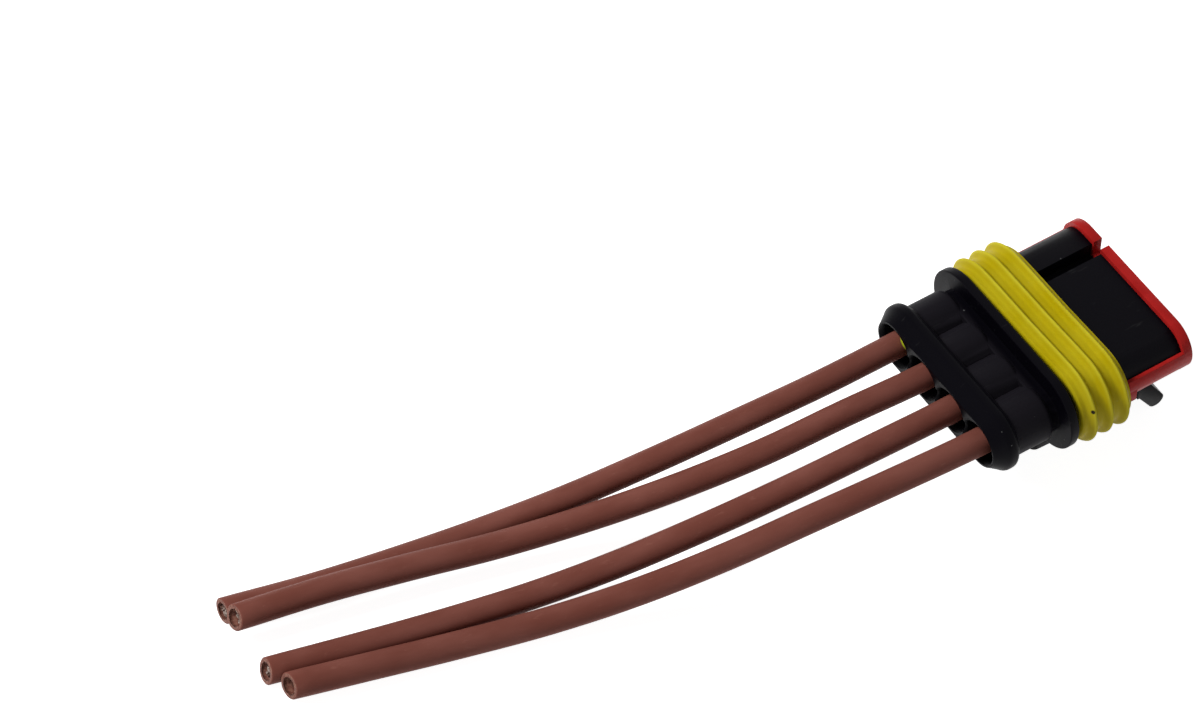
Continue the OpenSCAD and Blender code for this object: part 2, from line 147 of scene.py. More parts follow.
# %% Shader values
class Value:
    """A shader value: operators on it add Math nodes to its tree."""

    def __init__(self, nodes, socket):
        self.nodes = nodes
        self.socket = socket

    def _math(self, operation, *others):
        return self.nodes.node("ShaderNodeMath", {"operation": operation}, [self, *others])

    def __add__(self, other):
        return self._math("ADD", other)

    def __sub__(self, other):
        return self._math("SUBTRACT", other)

    def __rsub__(self, other):
        return self.nodes.node("ShaderNodeMath", {"operation": "SUBTRACT"}, [other, self])

    def __mul__(self, other):
        return self._math("MULTIPLY", other)

    __radd__ = __add__
    __rmul__ = __mul__

    def clamped(self):
        """The value, held between 0 and 1."""
        return self.nodes.node("ShaderNodeClamp", {}, [self])

    def smooth(self, low, high):
        """0 below low, 1 above high, and a smooth step between them."""
        return self.nodes.node(
            "ShaderNodeMapRange", {"interpolation_type": "SMOOTHSTEP"},
            [self, low, high, 0.0, 1.0])


print("values know", [name for name in vars(Value) if name[:2] != "__"])

# %% [markdown]
# ## Node trees
# Every node comes from one method, which makes it, sets it and fills its inputs
# with numbers or with values. Colours are mixed by a Mix node of their own kind,
# because a Math node would turn them grey.

# %% Node tree
class Nodes:
    """A node tree that values are built in."""

    def __init__(self, tree):
        self.tree = tree

    def node(self, kind, settings=None, inputs=(), output=0):
        """Adds a node: settings first, then its inputs by place or by name."""
        made = self.tree.nodes.new(kind)
        for key, value in (settings or {}).items():
            setattr(made, key, value)
        pairs = inputs.items() if isinstance(inputs, dict) else enumerate(inputs)
        for key, value in pairs:
            if isinstance(value, Value):
                self.tree.links.new(value.socket, made.inputs[key])
            else:
                made.inputs[key].default_value = value
        return Value(self, made.outputs[output])

    def blend(self, factor, first, second):
        """Colour between first and second as factor goes from 0 to 1."""
        made = self.tree.nodes.new("ShaderNodeMix")
        made.data_type = "RGBA"
        for key, value in ((0, factor), (6, first), (7, second)):
            if isinstance(value, Value):
                self.tree.links.new(value.socket, made.inputs[key])
            else:
                made.inputs[key].default_value = value
        return Value(self, made.outputs[2])

    def shown(self):
        """1 on the rays that show a backdrop: to the camera, mirrored or through glass."""
        camera_ray, glossy_ray, clear_ray = (
            self.node("ShaderNodeLightPath", output=f"Is {kind} Ray")
            for kind in ("Camera", "Glossy", "Transmission"))
        return (camera_ray + glossy_ray + clear_ray).clamped()


print("node trees know", [name for name in vars(Nodes) if name[:2] != "__"])

# %% [markdown]
# ## Finishes
# A finish is a material with one Principled shader. What stays the same all over
# a piece is set when it is made. What changes over the surface, such as colour,
# roughness and a small relief, is fed in afterwards.

# %% Finish of a piece
class Finish(Nodes):
    """A material with a Principled shader, built up by small methods."""

    def __init__(self, name, **sockets):
        self.material = bpy.data.materials.new(name)
        self.material.use_nodes = True
        super().__init__(self.material.node_tree)
        self.shader = self.tree.nodes["Principled BSDF"]
        for socket, value in sockets.items():
            self.shader.inputs[socket.replace("_", " ")].default_value = value

    def place(self):
        """Object coordinates, in metres."""
        return self.node("ShaderNodeTexCoord", output="Object")

    def surface(self):
        """The piece's own UV map."""
        return self.node("ShaderNodeUVMap", {"uv_map": "surface"})

    def stretch(self, vector, scale):
        """The place, with each axis scaled on its own."""
        return self.node("ShaderNodeMapping", {}, {"Vector": vector, "Scale": scale})

    def noise(self, vector, scale, detail, roughness=0.5):
        """Cloudy noise in 0..1, whose lumps are about 1 / scale metres wide."""
        return self.node("ShaderNodeTexNoise", {}, {
            "Vector": vector, "Scale": scale, "Detail": detail, "Roughness": roughness})

    def cells(self, vector, scale):
        """Distance to the nearest of many scattered points."""
        return self.node("ShaderNodeTexVoronoi", {}, {"Vector": vector, "Scale": scale})

    def feed(self, socket, value):
        """Links a value to an input of the shader."""
        self.tree.links.new(value.socket, self.shader.inputs[socket])

    def bump(self, height, distance, strength):
        """Height in 0..1 over the given distance in metres, fed to the shader's normal."""
        self.feed("Normal", self.node("ShaderNodeBump", {}, {
            "Height": height, "Distance": distance, "Strength": strength}))


print("finishes know", [name for name in vars(Finish) if name[:2] != "__"])

# %% [markdown]
# ## Colours
# A colour is easiest to judge as it is displayed, but light adds up in linear
# values. One function turns the first into the second, by the curve that screens
# use: a power of 2.4 with a short straight piece near black.

# %% Display colour to linear
def rgb(red, green, blue):
    """Colour from display values 0..255 to the linear values that shaders take."""
    display = np.array([red, green, blue]) / 255
    linear = np.where(display <= 0.04045, display / 12.92, ((display + 0.055) / 1.055) ** 2.4)
    return (*linear.tolist(), 1.0)


print("mid grey 128 is", round(rgb(128, 128, 128)[0], 3), "as a linear value")

# %% [markdown]
# ## Black moulded plastic
# The housing is glass-filled nylon from a spark-eroded mould: nearly black, a
# little blue, with a fine even grain, faint cloudy sheen where the melt slowed,
# a few light rubs and sparse dust. The barrels round the wires are duller, and
# their paler colour is painted sheen. Grain is bump; the rest is colour and roughness.

# %% Finish of the black mouldings
BARRELS_BEGIN = (REAR_X + 3 * MM, REAR_X + 4.5 * MM)
BARRELS_END = (REAR_X + 8.4 * MM, REAR_X + 9.6 * MM)
RUB_GREY = rgb(60, 60, 62)
DUST_GREY = rgb(150, 150, 150)


def black_plastic(name, smooth_tint, barrel_sheen_tint):
    """Satin black: grain of 0.1 mm, clouds of 4 mm, short rubs along X and specks of
    dust of a tenth of a millimetre. A mask that is 1 on the barrels and fades past
    them paints sheen into their colour and makes them duller."""
    finish = Finish(name, Specular_IOR_Level=0.045)
    place = finish.place()
    back = finish.node("ShaderNodeSeparateXYZ", {}, [place], output="X")
    # Mask of the barrels: its paler colour is painted sheen, its added roughness a duller
    # finish
    barrel_sheen_and_matte = back.smooth(*BARRELS_BEGIN) - back.smooth(*BARRELS_END)
    clouds = finish.noise(place, 260, 3)
    grain = finish.noise(place, 9000, 2)
    rubs = finish.noise(finish.stretch(place, (300, 2200, 900)), 1.0, 2).smooth(0.68, 0.8)
    colour = finish.blend(barrel_sheen_and_matte, rgb(*smooth_tint), rgb(*barrel_sheen_tint))
    colour = finish.blend(rubs * 0.3, colour, RUB_GREY)
    dust = (1 - finish.cells(place, 420).smooth(0.03, 0.05)) * clouds.smooth(0.5, 0.6)
    finish.feed("Base Color", finish.blend(dust * 0.5, colour, DUST_GREY))
    finish.feed("Roughness", 0.34 + clouds * 0.14 + barrel_sheen_and_matte * 0.12 - rubs * 0.06 + dust * 0.4)
    finish.bump(grain, 0.02 * MM, 0.5)
    return finish.material


# The second tint of each is the painted sheen on the barrels
HOUSING_BLACK = black_plastic("housing_black", (5, 4, 9), (25, 23, 28))
LATCH_BLACK = black_plastic("latch_black", (6, 5, 8), (9, 8, 12))
print("black:", len(HOUSING_BLACK.node_tree.nodes), "nodes in each of two finishes")

# %% [markdown]
# ## Red lock plastic
# The lock is a red polyester, as fine in its grain as the housing. The melt left
# soft clouds of a paler and a deeper red, which change its sheen a little too.

# %% Finish of the red lock
def red_plastic(name):
    """Satin red with faint flow clouds and a fine grain."""
    finish = Finish(name, Specular_IOR_Level=0.1)
    place = finish.place()
    clouds = finish.noise(place, 380, 3)
    grain = finish.noise(place, 7000, 2)
    red = finish.blend(clouds.smooth(0.3, 0.7), rgb(172, 30, 28), rgb(186, 38, 36))
    finish.feed("Base Color", red)
    finish.feed("Roughness", 0.34 + clouds * 0.14)
    finish.bump(grain, 0.015 * MM, 0.4)
    return finish.material


LOCK_RED = red_plastic("lock_red")
print("red:", len(LOCK_RED.node_tree.nodes), "nodes")

# %% [markdown]
# ## Silicone rubber
# Silicone has a soft sheen and lets a little light in. The crests of the big
# seal's lips carry a painted highlight, a paler colour; its UV map gives the height on a lip as
# v. Fine dust sticks to all of it, and one crumb of dirt to the rearmost lip.

# %% Finish of the seals
CRUMB_AT = (REAR_X + 13.45 * MM, WAY_Y[-1] - 5.5 * MM, AXIS_Z + 2.75 * MM)
CRUMB_R = 0.22 * MM
CRUMB_BROWN = rgb(34, 28, 10)


def silicone(name, body, crest_highlight, dust):
    """Rubber whose colour drifts softly and takes a painted highlight, a paler colour,
    towards v = 1, the crests. Specks are scattered points, and patches keep them
    to a few places."""
    finish = Finish(
        name, Specular_IOR_Level=0.1, Subsurface_Weight=0.1, Subsurface_Scale=0.8 * MM)
    finish.shader.inputs["Subsurface Radius"].default_value = (1.0, 0.7, 0.15)
    place = finish.place()
    drift = finish.noise(place, 240, 3)
    skin = finish.noise(place, 5200, 3)
    specks = 1 - finish.cells(place, 900).smooth(0.03, 0.07)
    patches = finish.noise(place, 180, 2).smooth(0.5, 0.62)
    lip_height = finish.node("ShaderNodeSeparateXYZ", {}, [finish.surface()], output="Y")
    # Painted highlight on the lip crests, mixed with a random drift of tone
    crest_highlight_and_drift = lip_height.smooth(0.5, 1.0) * 0.7 + drift.smooth(0.3, 0.7) * 0.3
    colour = finish.blend(crest_highlight_and_drift, rgb(*body), rgb(*crest_highlight))
    away = finish.node(
        "ShaderNodeVectorMath", {"operation": "DISTANCE"}, [place, CRUMB_AT], output="Value")
    colour = finish.blend(away.smooth(CRUMB_R, 1.6 * CRUMB_R), CRUMB_BROWN, colour)
    finish.feed("Base Color", finish.blend(specks * patches * 0.5, colour, rgb(*dust)))
    finish.feed("Roughness", 0.42 + skin * 0.16)
    finish.bump(skin, 0.02 * MM, 0.6)
    return finish.material


# The second colour of each seal is its painted highlight on the crests
SEAL_YELLOW = silicone("seal_yellow", (188, 169, 8), (208, 196, 46), (208, 198, 118))
WIRE_SEAL_GREEN = silicone("wire_seal_green", (183, 195, 40), (190, 200, 50), (220, 222, 150))
print("silicone:", len(SEAL_YELLOW.node_tree.nodes), "nodes in each of two finishes")

# %% [markdown]
# ## Tinned metal
# The contacts are stamped from tin-plated strip: soft grey, dull bright, with
# rolling lines along the strip. The strands of the leads are tinned copper, so
# thin that the copper gives them a pinkish cast.

# %% Finishes of the metal
def tinned(name, light, dark, line_scale):
    """Metal with fine lines along X and cloudy tin; line_scale is lines per metre."""
    finish = Finish(name, Metallic=1.0)
    place = finish.place()
    lines = finish.noise(finish.stretch(place, (200, line_scale, line_scale)), 1.0, 2)
    clouds = finish.noise(place, 900, 3)
    tin = finish.blend(clouds.smooth(0.3, 0.7), rgb(*dark), rgb(*light))
    finish.feed("Base Color", tin)
    finish.feed("Roughness", 0.2 + lines * 0.2)
    finish.bump(lines, 0.006 * MM, 0.5)
    return finish.material


CONTACT_TIN = tinned("contact_tin", (196, 195, 190), (160, 158, 152), 9000)
STRAND_COPPER = tinned("strand_copper", (196, 180, 170), (84, 58, 48), 4000)
print("metal:", len(CONTACT_TIN.node_tree.nodes), "nodes in each of two finishes")

# %% [markdown]
# ## Lead jackets
# The jackets are brown PVC, drawn out of a die: satin, with faint lines along
# the lead, slow changes of shade and a few dull scuffs from handling. Their
# pattern follows the lead through the UV map: u runs round it and v along it,
# both in metres.

# %% Finish of the jackets
def jacket_brown(name):
    """Brown PVC: die lines along v, scuffs, and a slow drift of shade."""
    finish = Finish(name, Specular_IOR_Level=0.1)
    flow = finish.surface()
    die_lines = finish.noise(finish.stretch(flow, (5200, 40, 1)), 1.0, 2)
    drift = finish.noise(finish.stretch(flow, (260, 90, 1)), 1.0, 3)
    scuffs = finish.noise(finish.stretch(flow, (1300, 420, 1)), 1.0, 4, 0.6).smooth(0.6, 0.74)
    skin = finish.noise(finish.place(), 6000, 2)
    colour = finish.blend(drift.smooth(0.3, 0.72), rgb(117, 66, 56), rgb(132, 80, 70))
    finish.feed("Base Color", finish.blend(scuffs * 0.35, colour, rgb(152, 100, 88)))
    finish.feed("Roughness", 0.5 + scuffs * 0.2 + drift * 0.06)
    finish.bump(die_lines * 0.5 + skin * 0.5, 0.018 * MM, 0.5)
    return finish.material


JACKET_BROWN = jacket_brown("jacket_brown")
print("jacket:", len(JACKET_BROWN.node_tree.nodes), "nodes")

# %% [markdown]
# ## Cut faces of the jackets
# The cutter sheared the PVC, and sheared PVC is matt and paler than the skin, with
# small torn spots. A deeper bump than on the skin makes the torn spots rough.

# %% Finish of the cut faces
def jacket_cut(name):
    """Sheared PVC: torn spots of a third of a millimetre, paler and rougher."""
    finish = Finish(name, Specular_IOR_Level=0.3)
    tears = finish.noise(finish.place(), 3200, 3)
    brown = finish.blend(tears.smooth(0.35, 0.7), rgb(112, 66, 56), rgb(150, 106, 90))
    finish.feed("Base Color", brown)
    finish.feed("Roughness", 0.5 + tears * 0.3)
    finish.bump(tears, 0.05 * MM, 0.8)
    return finish.material


JACKET_CUT = jacket_cut("jacket_cut_face")
print("cut face:", len(JACKET_CUT.node_tree.nodes), "nodes")

# %% [markdown]
# ## Routes of the leads
# Each lead leaves its mouth level, sinks to the bench in one long curve and
# lies there, bent a little to the far side. The second lead rests on the first
# and the fourth leans on the third. The route's points are those of the CAD
# tubes: distance back, distance sideways from the mouth, and height, which is
# 1 at the mouth and 0 on the bench.

# %% Routes
LEAD_D = 3.5 * MM
CORE_D = 1.9 * MM
LEAD_REST = LEAD_D / 2
LEAD_ROUTES = [
    [[11, 0.4, 0.96], [22, 2.2, 0.78], [33, 4.6, 0.53], [44, 7.4, 0.26],
     [55, 10.3, 0.06], [66, 12.6, 0], [77, 14.8, 0], [88, 17.6, 0]],
    [[11, 0.9, 0.96], [22, 2.6, 0.78], [33, 5.6, 0.53], [44, 9.1, 0.31],
     [55, 12.4, 0.2], [66, 15.4, 0.21], [77, 18, 0.24], [88, 20.4, 0.22]],
    [[11, 0.6, 0.96], [22, 2.2, 0.78], [33, 4.6, 0.53], [44, 7.5, 0.26],
     [55, 10.6, 0.06], [66, 13.4, 0], [77, 16.1, 0], [88, 19, 0]],
    [[11, 0.9, 0.96], [22, 2.9, 0.78], [33, 5.4, 0.53], [44, 8.6, 0.26],
     [55, 12.2, 0.06], [66, 15.4, 0.02], [77, 18.3, 0.06], [87, 21, 0.09]],
]


def route_points(way, inner_x):
    """The CAD route of a lead: inner end, mouth, then the points behind it."""
    points = [[inner_x, WAY_Y[way], AXIS_Z], [REAR_X, WAY_Y[way], AXIS_Z]]
    for back, side, height in LEAD_ROUTES[way]:
        points.append([
            REAR_X - back * MM,
            WAY_Y[way] + side * MM,
            LEAD_REST + height * (AXIS_Z - LEAD_REST),
        ])
    return np.array(points)


INNER_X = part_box("lead_1")[1][0]
print("routes:", [len(route_points(way, INNER_X)) for way in range(WAYS)], "points")

# %% [markdown]
# ## Curves through the routes
# A Catmull-Rom curve passes through all of its points and bends evenly between
# them, as a springy wire does. Along it, a side and an up vector say which way is
# round the lead. A path that is never upright can take them from the vertical.

# %% Smooth routes
def smooth_route(points, steps):
    """Catmull-Rom curve: each stretch is a cubic whose end slopes are half the
    difference between the neighbours of its end points."""
    before = np.vstack([2 * points[0] - points[1], points[:-2]])
    start, end = points[:-1], points[1:]
    after = np.vstack([points[2:], 2 * points[-1] - points[-2]])
    t = (np.arange(steps) / steps)[None, :, None]
    curve = 0.5 * (
        2 * start[:, None]
        + (end - before)[:, None] * t
        + (2 * before - 5 * start + 4 * end - after)[:, None] * t ** 2
        + (3 * start - before - 3 * end + after)[:, None] * t ** 3
    )
    return np.vstack([curve.reshape(-1, 3), points[-1:]])


def route_frame(path):
    """Unit tangent, side and up at each point of a path that is never upright."""
    tangent = np.gradient(path, axis=0)
    tangent /= np.linalg.norm(tangent, axis=1, keepdims=True)
    side = np.cross([0, 0, 1], tangent)
    side /= np.linalg.norm(side, axis=1, keepdims=True)
    return tangent, side, np.cross(tangent, side)


def path_length(path):
    """Length of the path up to each of its points."""
    return np.concatenate([[0], np.cumsum(np.linalg.norm(np.diff(path, axis=0), axis=1))])


coarse_mm = path_length(route_points(0, INNER_X))[-1] / MM
print("first route:", round(float(coarse_mm), 1), "mm in straight pieces")

# %% [markdown]
# ## Tubes
# Jackets and strands are both tubes: rings of points round a path. A ring lies in
# the plane of the side and up vectors, and past the path's last point the rings
# keep the vectors that it had there.

# %% Rings round a path
def rings_round(centre, side, up, radii, a):
    """Points centre + r (cos a side + sin a up); radii has a row for each ring, of
    one radius for the whole ring or of one for each of its points."""
    ring = np.cos(a)[None, :, None] * side[:, None] + np.sin(a)[None, :, None] * up[:, None]
    return centre[:, None] + ring * radii[:, :, None]


def hold_last(rows, count):
    """All rows but the last, then count copies of the last one."""
    return np.vstack([rows[:-1], np.repeat(rows[-1:], count, 0)])


def round_angles(sides):
    """Angles of a ring's points, once round."""
    return np.linspace(0, 2 * math.pi, sides, endpoint=False)


print("a ring of eight has a point every", round(math.degrees(round_angles(8)[1])), "degrees")

# %% [markdown]
# ## Cut ends
# At the cut end the jacket's wall closes in a rounded lip and a flat face, then
# runs back inside as the bore, so the end shows how thick the wall is.

# %% Rings of a cut end
BORE_R = CORE_D / 2 + 0.04 * MM
END_ROUND = 0.22 * MM
FACE_R = LEAD_D / 2 - END_ROUND


def cut_end(end, tangent):
    """Centres and radii of the rings past the last of the skin: a quarter round of
    radius END_ROUND, the flat face, and the bore that runs back inside."""
    a = np.linspace(0, math.pi / 2, 5)[1:]
    inside = np.array([0.0, 0.5, 2.5, 6.0]) * MM
    centre = np.vstack([
        end + (END_ROUND * (np.sin(a) - 1))[:, None] * tangent,
        np.repeat(end[None], 2, 0),
        end - inside[:, None] * tangent,
    ])
    radii = np.concatenate([
        LEAD_D / 2 - END_ROUND * (1 - np.cos(a)),
        BORE_R + (FACE_R - BORE_R) * np.array([0.62, 0.25]),
        BORE_R + np.array([0.14, 0.1, 0.0, 0.0]) * MM,
    ])
    return centre, radii


print("wall at the cut:", round((LEAD_D / 2 - BORE_R) / MM, 2), "mm")

# %% [markdown]
# ## Jackets
# A jacket is a tube carried along the route. Extruded wire is never quite round,
# and the cutter left the ends a little out of square, each in its own direction.

# %% Jacket surfaces
ROUTE_STEPS = 5
JACKET_SIDES = 28
OUT_OF_ROUND = 0.012
CUT_TILT = [0.3, 0.44, 0.36, 0.4]
CUT_TURN = [0.7, 1.1, 1.2, 0.8]


def jacket(way):
    """Points P(s, a) = path(s) + r (cos a side + sin a up), where r is the outer
    radius along the lead, then bends round the lip and becomes the bore. The cut
    leans up: its rings slip along the lead with the place across it."""
    path = smooth_route(route_points(way, INNER_X), ROUTE_STEPS)
    tangent, side, up = route_frame(path)
    along = path_length(path)
    end_centre, end_radii = cut_end(path[-1], tangent[-1])
    past = len(end_centre)
    centre = np.vstack([path[:-1], end_centre])
    r = np.concatenate([np.full(len(path) - 1, LEAD_D / 2), end_radii])[:, None]
    a = round_angles(JACKET_SIDES)
    wobble = 1 + OUT_OF_ROUND * np.sin(2 * a + way)
    points = rings_round(
        centre, hold_last(side, past), hold_last(up, past), r * wobble[None], a)
    lean = np.clip(np.arange(len(centre)) - (len(path) - 3), 0, 2) / 2
    lean[-2:] = [0.5, 0]
    slip = -CUT_TILT[way] * lean[:, None] * r * np.cos(a - CUT_TURN[way])[None]
    points += slip[:, :, None] * hold_last(tangent, past)[:, None]
    v = hold_last(along[:, None], past) + 0.3 * way
    uv = np.stack(np.broadcast_arrays((a * LEAD_D / 2)[None, :], v), -1)
    rows, columns = points.shape[:2]
    faces = grid_faces(rows, columns, False, True)[:, ::-1]
    obj = mesh_from(f"lead_jacket_{way + 1}", points.reshape(-1, 3), faces, uv.reshape(-1, 2))
    obj.data.materials.append(JACKET_BROWN)
    obj.data.materials.append(JACKET_CUT)
    # The sheared face and the mouth of the bore take the second material
    cut = np.arange(rows - 1) >= len(path) + 1
    obj.data.polygons.foreach_set("material_index", np.repeat(cut, columns).astype(np.int32))
    return obj, path


jackets = [jacket(way) for way in range(WAYS)]
print("jackets:", [round(float(path_length(path)[-1]) / MM, 1) for _, path in jackets], "mm")

# %% [markdown]
# ## Strands
# The conductor is nineteen tinned strands, six round one and twelve round
# those, twisted together. Each strand is a thin tube on a helix round the
# route. At the cut the outer strands spring apart a little and end unevenly.

# %% Strands
STRAND_D = CORE_D / 5.15
STRAND_SIDES = 8
TWIST_LENGTH = 22 * MM
FLARE_LENGTH = 1.2 * MM
FLARE = 0.04
STRAND_RECESS = [0.35 * MM, 0.6 * MM, 0.45 * MM, 1.0 * MM]
# Layer, distance from the middle and place round it
STRAND_LAYERS = (
    [(0, 0.0, 0.0)]
    + [(1, STRAND_D, k * math.pi / 3) for k in range(6)]
    + [(2, 1.94 * STRAND_D, k * math.pi / 6 + 0.2) for k in range(12)])
strand_random = np.random.default_rng(7)


def strand_bundle(way):
    """Strand k: path(s) + rho_k (cos(phi_k + turn s) side + sin(...) up), where
    rho_k is its layer's radius, slightly wider at the cut end. Its tip leans with
    the cut, sticks out by chance, and closes in two small rings."""
    path = smooth_route(route_points(way, INNER_X + 4 * MM), 9)
    tangent, side, up = route_frame(path)
    along = path_length(path)
    flare = np.clip((along - along[-1] + FLARE_LENGTH) / FLARE_LENGTH, 0, 1)
    r = np.full((len(path) + 2, 1), STRAND_D / 2)
    r[-2:, 0] = [STRAND_D * 0.4, STRAND_D * 0.02]
    points, faces = [], []
    for layer, rho, phase in STRAND_LAYERS:
        angle = phase + 2 * math.pi * along / TWIST_LENGTH
        slip = -CUT_TILT[way] * rho * math.cos(angle[-1] - CUT_TURN[way])
        stick_out = slip - STRAND_RECESS[way] + (0.5 * strand_random.random() - 0.3) * MM
        centre = path + (rho * (1 + FLARE * layer * flare))[:, None] * (
            np.cos(angle)[:, None] * side + np.sin(angle)[:, None] * up)
        tip = centre[-1] + np.array([[0], [0.03 * MM], [0.035 * MM]]) * tangent[-1]
        centre = np.vstack([centre[:-1], tip + stick_out * tangent[-1]])
        grid = rings_round(
            centre, hold_last(side, 3), hold_last(up, 3), r, round_angles(STRAND_SIDES))
        base = len(points) * grid.shape[0] * STRAND_SIDES
        points.append(grid.reshape(-1, 3))
        faces.append(grid_faces(len(centre), STRAND_SIDES, False, True, base)[:, ::-1])
    obj = mesh_from(f"strands_{way + 1}", np.vstack(points), np.vstack(faces))
    obj.data.materials.append(STRAND_COPPER)
    return obj


strands = [strand_bundle(way) for way in range(WAYS)]
print("strands:", len(STRAND_LAYERS), "in each lead,", len(strands[0].data.polygons), "faces")

# %% [markdown]
# ## What the leads stand for
# Jacket and strands take the place of the CAD tube and its conductor, which are
# hidden. Both ride the plug's body, so the strands go with the jacket.

# %% Leads on the plug
for way, (obj, path) in enumerate(jackets):
    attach(obj, "plug")
    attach(strands[way], "plug")
    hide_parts(f"lead_{way + 1}")
    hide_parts(f"conductor_{way + 1}")
print("cords:", WAYS, "leads of", LEAD_D / MM, "mm")

# %% [markdown]
# ## Interface seal
# The seal is a silicone ring stretched over the body, with three round lips
# that the mating shroud squeezes. Its outline is a stadium, and its section a
# wave. It was pushed on by hand, so its near end sits a little further forward
# and leaves a dark gap beside the flange. First comes the outline.

# %% Stadium outline
LIP_R = (SEAL_HIGH[2] - SEAL_LOW[2]) / 2


def stadium(r, turns):
    """Point on a stadium whose ends have radius r: straight runs of the row's
    length, joined by half circles (HALF_ROW + r sin a, r cos a). turns counts once
    round from 0 to 1, at the pace of the outline of radius LIP_R."""
    straight = 2 * HALF_ROW
    bend = math.pi * LIP_R
    total = 2 * straight + 2 * bend
    s = (turns % 1.0) * total
    y = np.empty_like(s + r)
    z = np.empty_like(s + r)
    r = np.broadcast_to(r, y.shape)
    s = np.broadcast_to(s, y.shape)
    top = s < straight
    near = (s >= straight) & (s < straight + bend)
    low = (s >= straight + bend) & (s < 2 * straight + bend)
    far = s >= 2 * straight + bend
    y[top] = HALF_ROW - s[top]
    z[top] = r[top]
    a = (s[near] - straight) / LIP_R
    y[near] = -HALF_ROW - r[near] * np.sin(a)
    z[near] = r[near] * np.cos(a)
    y[low] = -HALF_ROW + (s[low] - straight - bend)
    z[low] = -r[low]
    a = (s[far] - 2 * straight - bend) / LIP_R
    y[far] = HALF_ROW + r[far] * np.sin(a)
    z[far] = -r[far] * np.cos(a)
    return y, z


print("seal outline:", round(4 * HALF_ROW / MM + 2 * math.pi * LIP_R / MM, 1), "mm round")

# %% [markdown]
# ## Section of the seal
# The section is a profile of distances along the body and out from its axis. The
# lips are cosine crests, raised to a power that narrows them and opens the valleys
# between. Rounded end faces and the bore close it.

# %% Seal section
LIPS = 3
LIP_H = 0.9 * MM
LIP_NARROWING = 3.0
LIP_MARGINS = 2.6 * MM
FIRST_LIP = 1.5 * MM
SEAL_BORE_R = 3.8 * MM
EDGE_ROUND = 0.25 * MM


def seal_section():
    """r(x) = root + LIP_H c ** LIP_NARROWING, where c = (1 + cos) / 2 over each lip
    and root is the valley's radius. The last result is the height on a lip, 0..1."""
    start, stop = SEAL_LOW[0], SEAL_HIGH[0]
    pitch = (stop - start - LIP_MARGINS) / (LIPS - 1)
    first = start + FIRST_LIP
    root = LIP_R - LIP_H
    wave_x = np.linspace(first - 0.52 * pitch, first + (LIPS - 0.6) * pitch, 70)
    crest = 0.5 + 0.5 * np.cos(2 * math.pi * (wave_x - first) / pitch)
    rear_x, front_x = [start + EDGE_ROUND, start, start], [stop, stop, stop - EDGE_ROUND]
    rear_r = [SEAL_BORE_R, SEAL_BORE_R + EDGE_ROUND, root - EDGE_ROUND]
    front_r = [root - 0.3 * MM, SEAL_BORE_R + EDGE_ROUND, SEAL_BORE_R]
    x = np.concatenate([rear_x, wave_x, front_x])
    r = np.concatenate([rear_r, root + LIP_H * crest ** LIP_NARROWING, front_r])
    return x, r, np.clip((r - root) / LIP_H, 0, 1)


print("seal section:", len(seal_section()[0]), "points")

# %% [markdown]
# ## The seal as it sits
# A perfect ring would look machined. This one sits askew along the body, waves by
# a few hundredths of a millimetre where it was stretched on, and hangs a little
# towards the near side.

# %% Interface seal
SEAL_SKEW = 0.35 * MM
SEAL_SAG = 0.2 * MM
SEAL_RIPPLE = 0.03 * MM
SEAL_RIPPLES = 5
SEAL_STEPS = 240


def seal_ring():
    """The section carried round the stadium, moved along X by a lean, linear in y,
    and by a ripple sin(5 turns)."""
    x, r, height = seal_section()
    turns = (np.arange(SEAL_STEPS) / SEAL_STEPS)[:, None]
    y, z = stadium(r[None, :], turns)
    lean = SEAL_SKEW * (0.5 - y / (2 * (HALF_ROW + LIP_R)))
    ripple = SEAL_RIPPLE * np.sin(2 * math.pi * turns * SEAL_RIPPLES + 0.7)
    points = np.stack([x[None, :] + lean + ripple, y - SEAL_SAG, z + AXIS_Z], -1)
    uv = np.stack(np.broadcast_arrays(turns, height[None, :]), -1)
    obj = mesh_from("interface_seal_ring", points.reshape(-1, 3),
                    grid_faces(SEAL_STEPS, len(x), True, True), uv.reshape(-1, 2))
    obj.data.materials.append(SEAL_YELLOW)
    return obj


seal = seal_ring()
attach(seal, "plug")
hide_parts("interface_seal")
print("interface seal:", len(seal.data.polygons), "faces")

# %% [markdown]
# ## Moulded pieces
# The hard pieces keep the CAD model's shape, but no moulding has knife edges. A
# copy of each CAD mesh is merged, its flat faces are joined up, and a Bevel
# modifier rounds the edges by a few hundredths of a millimetre or more. Edges that
# turn by less than an angle are parts of a round face, and stay as they are.

# %% Softened copies of the CAD pieces
MERGE_WITHIN = 0.002 * MM
FLAT_WITHIN = math.radians(1.0)
EDGE_FROM = math.radians(34)


def softened(node, name, body, material, edge, segments=2):
    """Copy of a CAD node with merged vertices, joined flats and edges rounded over
    the width edge."""
    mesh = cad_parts[node].data.copy()
    mesh.name = name
    work = bmesh.new()
    work.from_mesh(mesh)
    bmesh.ops.remove_doubles(work, verts=work.verts, dist=MERGE_WITHIN)
    bmesh.ops.dissolve_limit(
        work, angle_limit=FLAT_WITHIN, verts=work.verts, edges=work.edges)
    work.to_mesh(mesh)
    work.free()
    obj = link(mesh, name)
    mesh.materials.clear()
    mesh.materials.append(material)
    bevel = obj.modifiers.new("rounded_edges", "BEVEL")
    bevel.width = edge
    bevel.segments = segments
    bevel.limit_method = "ANGLE"
    bevel.angle_limit = EDGE_FROM
    bevel.use_clamp_overlap = True
    bevel.harden_normals = True
    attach(obj, body)
    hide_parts(node)
    return obj


print("edges are rounded from", round(math.degrees(EDGE_FROM)), "degrees")

# %% [markdown]
# ## The hard pieces and the wire seals
# Each piece rides the body that moves it: the lever its own, the lock its own, and
# all the rest the plug. The stamped contacts have the smallest rounding, and the
# lever, which a thumb presses, has the largest.

